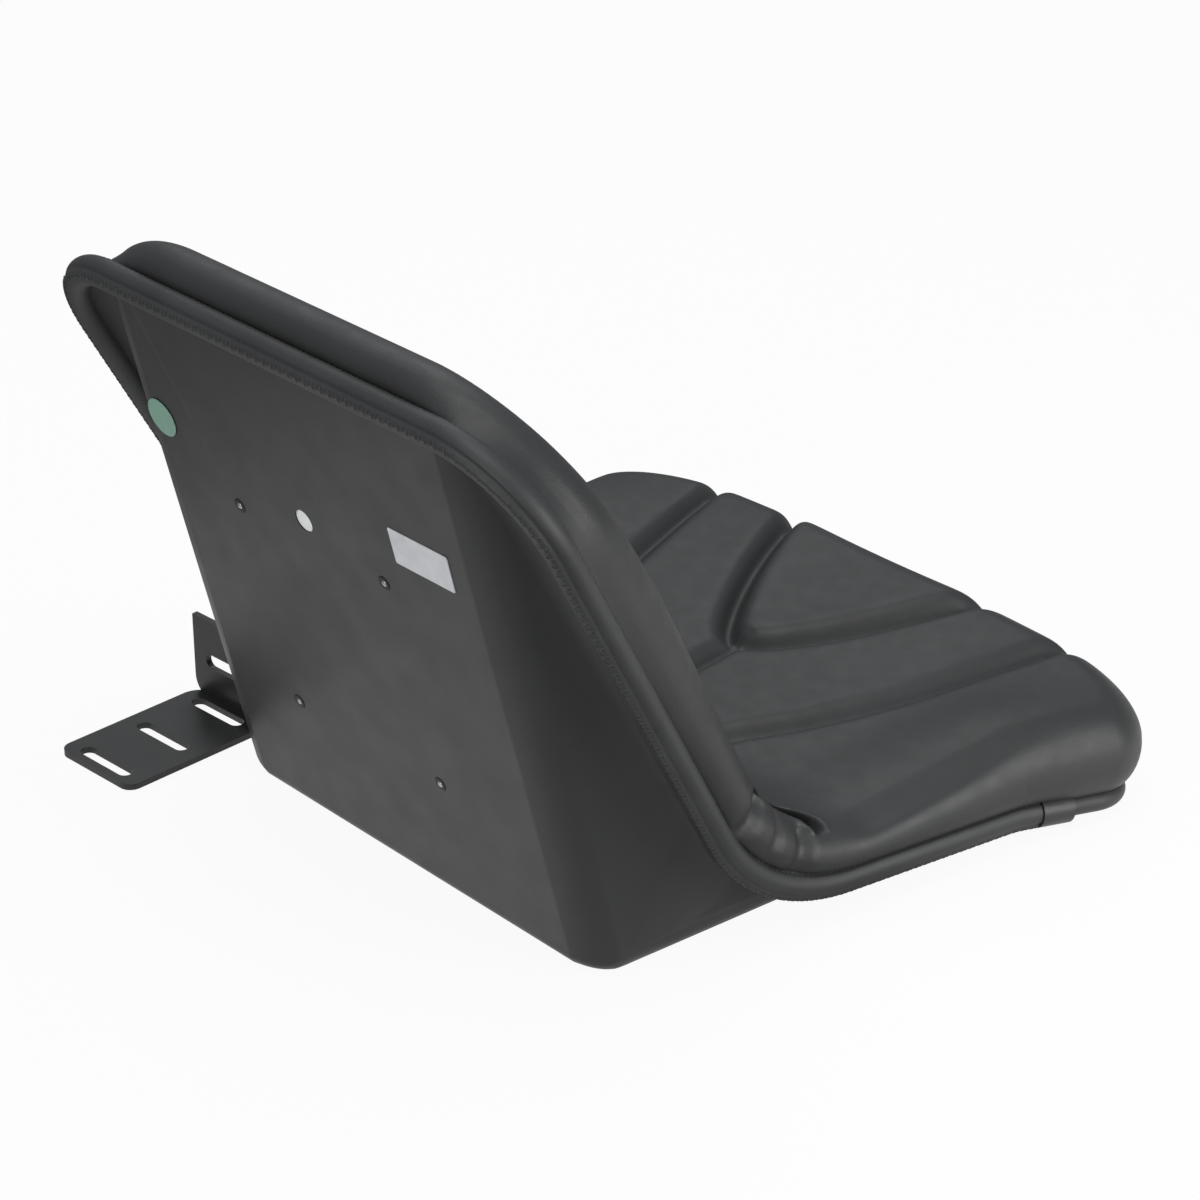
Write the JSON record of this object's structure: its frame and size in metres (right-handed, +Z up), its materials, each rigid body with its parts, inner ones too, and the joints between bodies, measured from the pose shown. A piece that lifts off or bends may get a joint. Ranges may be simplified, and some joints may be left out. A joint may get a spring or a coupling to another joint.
{
  "type": "pan seat",
  "caption": "Pan seat for a garden machine: dark pressed steel pan with a leaning back, moulded vinyl cushion, bead binding round the rim and a slotted fixing bracket.",
  "frame": {"origin": "centre of the pan's flat bottom, on the floor plane", "axes": "+Z up, the seat faces -Y, +X is the seated person's left"},
  "size_m": [0.4791, 0.4928, 0.3702],
  "materials": {
    "pan_paint": "dark grey satin paint with a fine texture",
    "vinyl": "dark grey grained vinyl skin over moulded foam",
    "binding": "dark grey vinyl bead with a moulded ridge and stitches",
    "sleeve": "dark grey shrink sleeve",
    "bracket_paint": "black satin paint",
    "plated_steel": "zinc plated"
  },
  "bodies": {
    "root": {"seat_pan": "pan_paint", "cushion": "vinyl", "rim_binding": "binding", "front_binding": "binding", "binding_sleeve_right": "sleeve", "binding_sleeve_left": "sleeve", "back_weld_nuts": "plated_steel", "base_weld_nuts": "plated_steel", "side_weld_nuts": "plated_steel", "mounting_bracket": "bracket_paint", "bracket_bolts": "plated_steel", "bracket_washers": "plated_steel"}
  },
  "joints": []
}
